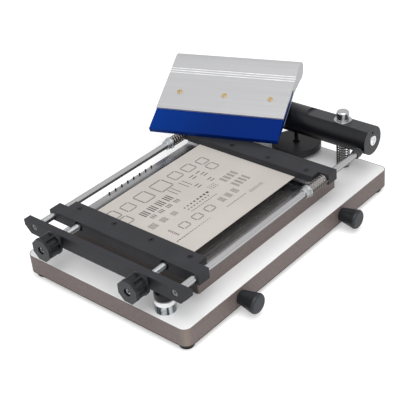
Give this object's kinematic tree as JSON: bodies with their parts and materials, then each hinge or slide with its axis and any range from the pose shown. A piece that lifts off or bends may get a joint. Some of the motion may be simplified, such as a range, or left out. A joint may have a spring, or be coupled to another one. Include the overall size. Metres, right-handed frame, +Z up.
{
  "type": "tabletop screen printing press",
  "caption": "Manual tabletop stencil printer with an adjustable print table, hinged tension frame on guide rods, height handwheel and squeegee.",
  "frame": {"origin": "under the middle of the whole press's box, on the bench the feet stand on", "axes": "+Y from the front crossbar and star knobs back to the hinge; +Z up; +X to the right, seen from the front"},
  "size_m": [0.4054, 0.5298, 0.1619],
  "materials": {
    "board": "plain sawn board",
    "laminate": "white laminate, satin",
    "edge": "brown edge band, fine grain",
    "rubber": "black, matt",
    "steel": "zinc plated",
    "rod": "ground and polished",
    "sheet": "polished sheet",
    "brass": "turned",
    "knob": "black moulding, satin",
    "ring": "white moulding",
    "foot": "turned and polished",
    "bar": "black anodised",
    "jaw": "clear anodised",
    "screw": "blackened",
    "oxide": "grey oxide",
    "wheel": "black, satin",
    "stencil": "matt sheet with a printed-circuit pad pattern",
    "spring": "drawn wire",
    "handle": "clear anodised profile",
    "blade": "blue, smooth"
  },
  "bodies": {
    "base": {"base_board": "board", "base_laminate": "laminate", "edge_band": "edge", "base_feet": "rubber", "foot_screws": "steel", "adjuster_bushes": "brass", "stop_foot": "foot", "hinge_posts": "steel", "post_springs": "spring", "thrust_washer": "brass"},
    "adjuster_front": {"adjuster_knob_front": "knob", "adjuster_screw_front": "steel"},
    "adjuster_rear": {"adjuster_knob_rear": "knob", "adjuster_screw_rear": "steel"},
    "table": {"table_board": "board", "table_sheet": "sheet", "register_strip": "sheet", "register_pins": "screw", "drive_nut_front": "steel", "drive_nut_rear": "steel"},
    "stop_ring": {"stop_ring": "ring"},
    "stop_pad": {"stop_pad": "rubber"},
    "handwheel": {"height_handwheel": "wheel", "height_spindle": "screw"},
    "hinge_carrier": {"hinge_bar": "bar", "hinge_pivots": "rod", "post_washers": "steel"},
    "nut_left": {"post_nut_left": "rod"},
    "nut_right": {"post_nut_right": "rod"},
    "frame": {"end_cap_left": "bar", "end_cap_right": "bar", "cap_set_screws": "screw", "guide_rod_left": "rod", "guide_rod_right": "rod", "rod_lock_nuts": "oxide", "rod_collars": "steel", "rod_springs": "spring", "front_crossbar": "bar", "crossbar_screws": "oxide"},
    "star_left": {"star_knob_left": "knob", "knob_inserts_left": "steel"},
    "star_right": {"star_knob_right": "knob", "knob_inserts_right": "steel"},
    "front_clamp": {"front_tension_bar": "bar", "front_jaw": "jaw", "front_clamp_screws": "screw", "tension_spindles": "steel", "stencil": "stencil"},
    "rear_clamp": {"rear_tension_bar": "bar", "rear_jaw": "jaw", "rear_clamp_screws": "screw"},
    "squeegee": {"squeegee_handle": "handle", "squeegee_end_plugs": "handle", "squeegee_clamp_strip": "handle", "squeegee_blade": "blade", "squeegee_screws": "brass"}
  },
  "joints": [
    {"name": "front_adjuster_turn", "type": "hinge", "parent": "base", "child": "adjuster_front", "pos_m": [0.17242, -0.13268, 0.023], "axis": [-1, 0, 0], "range_deg": [-1152, 5760]},
    {"name": "rear_adjuster_turn", "type": "hinge", "parent": "base", "child": "adjuster_rear", "pos_m": [0.17242, 0.10182, 0.023], "axis": [-1, 0, 0], "range_deg": [-1152, 5760]},
    {"name": "table_shift", "type": "slide", "parent": "base", "child": "table", "axis": [1, 0, 0], "range_m": [-0.004, 0.02]},
    {"name": "stop_ring_turn", "type": "hinge", "parent": "base", "child": "stop_ring", "pos_m": [0.12042, -0.21968, 0.037], "axis": [0, 0, 1], "range_deg": [-288, 0]},
    {"name": "stop_height", "type": "slide", "parent": "base", "child": "stop_pad", "axis": [0, 0, 1], "range_m": [-0.001, 0]},
    {"name": "handwheel_turn", "type": "hinge", "parent": "base", "child": "handwheel", "pos_m": [0.02242, 0.20032, 0.037], "axis": [0, 0, -1], "range_deg": [0, 1800]},
    {"name": "hinge_height", "type": "slide", "parent": "base", "child": "hinge_carrier", "axis": [0, 0, 1], "range_m": [0, 0.005], "deforming": ["post_springs"]},
    {"name": "left_post_nut_turn", "type": "hinge", "parent": "hinge_carrier", "child": "nut_left", "pos_m": [-0.06558, 0.20032, 0.095], "axis": [0, 0, 1], "range_deg": [0, 1440]},
    {"name": "right_post_nut_turn", "type": "hinge", "parent": "hinge_carrier", "child": "nut_right", "pos_m": [0.11042, 0.20032, 0.095], "axis": [0, 0, 1], "range_deg": [0, 1440]},
    {"name": "frame_lift", "type": "hinge", "parent": "hinge_carrier", "child": "frame", "pos_m": [0.02242, 0.20032, 0.095], "axis": [-1, 0, 0], "range_deg": [0, 80]},
    {"name": "left_star_turn", "type": "hinge", "parent": "frame", "child": "star_left", "pos_m": [-0.05758, -0.23258, 0.0835], "axis": [0, 1, 0], "range_deg": [-864, 2304]},
    {"name": "right_star_turn", "type": "hinge", "parent": "frame", "child": "star_right", "pos_m": [0.10242, -0.23258, 0.0835], "axis": [0, 1, 0], "range_deg": [-864, 2304]},
    {"name": "front_clamp_slide", "type": "slide", "parent": "frame", "child": "front_clamp", "axis": [0, -1, 0], "range_m": [-0.003, 0.008]},
    {"name": "rear_clamp_slide", "type": "slide", "parent": "frame", "child": "rear_clamp", "axis": [0, -1, 0], "range_m": [-0.003, 0.008], "deforming": ["rod_springs"]},
    {"name": "squeegee_lift", "type": "slide", "parent": "frame", "child": "squeegee", "axis": [0.139, -0.3718, 0.9178], "range_m": [0, 0.12]}
  ],
  "couplings": [
    {"joint": "front_adjuster_turn", "follows": "table_shift", "rad_per_m": 5026.5},
    {"joint": "rear_adjuster_turn", "follows": "table_shift", "rad_per_m": 5026.5},
    {"joint": "stop_ring_turn", "follows": "stop_height", "rad_per_m": 5026.5},
    {"joint": "hinge_height", "follows": "handwheel_turn", "m_per_rad": 0.00015915},
    {"joint": "left_post_nut_turn", "follows": "handwheel_turn", "ratio": 0.8},
    {"joint": "right_post_nut_turn", "follows": "handwheel_turn", "ratio": 0.8},
    {"joint": "rear_clamp_slide", "follows": "front_clamp_slide", "ratio": 1},
    {"joint": "left_star_turn", "follows": "front_clamp_slide", "rad_per_m": 5026.5},
    {"joint": "right_star_turn", "follows": "front_clamp_slide", "rad_per_m": 5026.5}
  ]
}
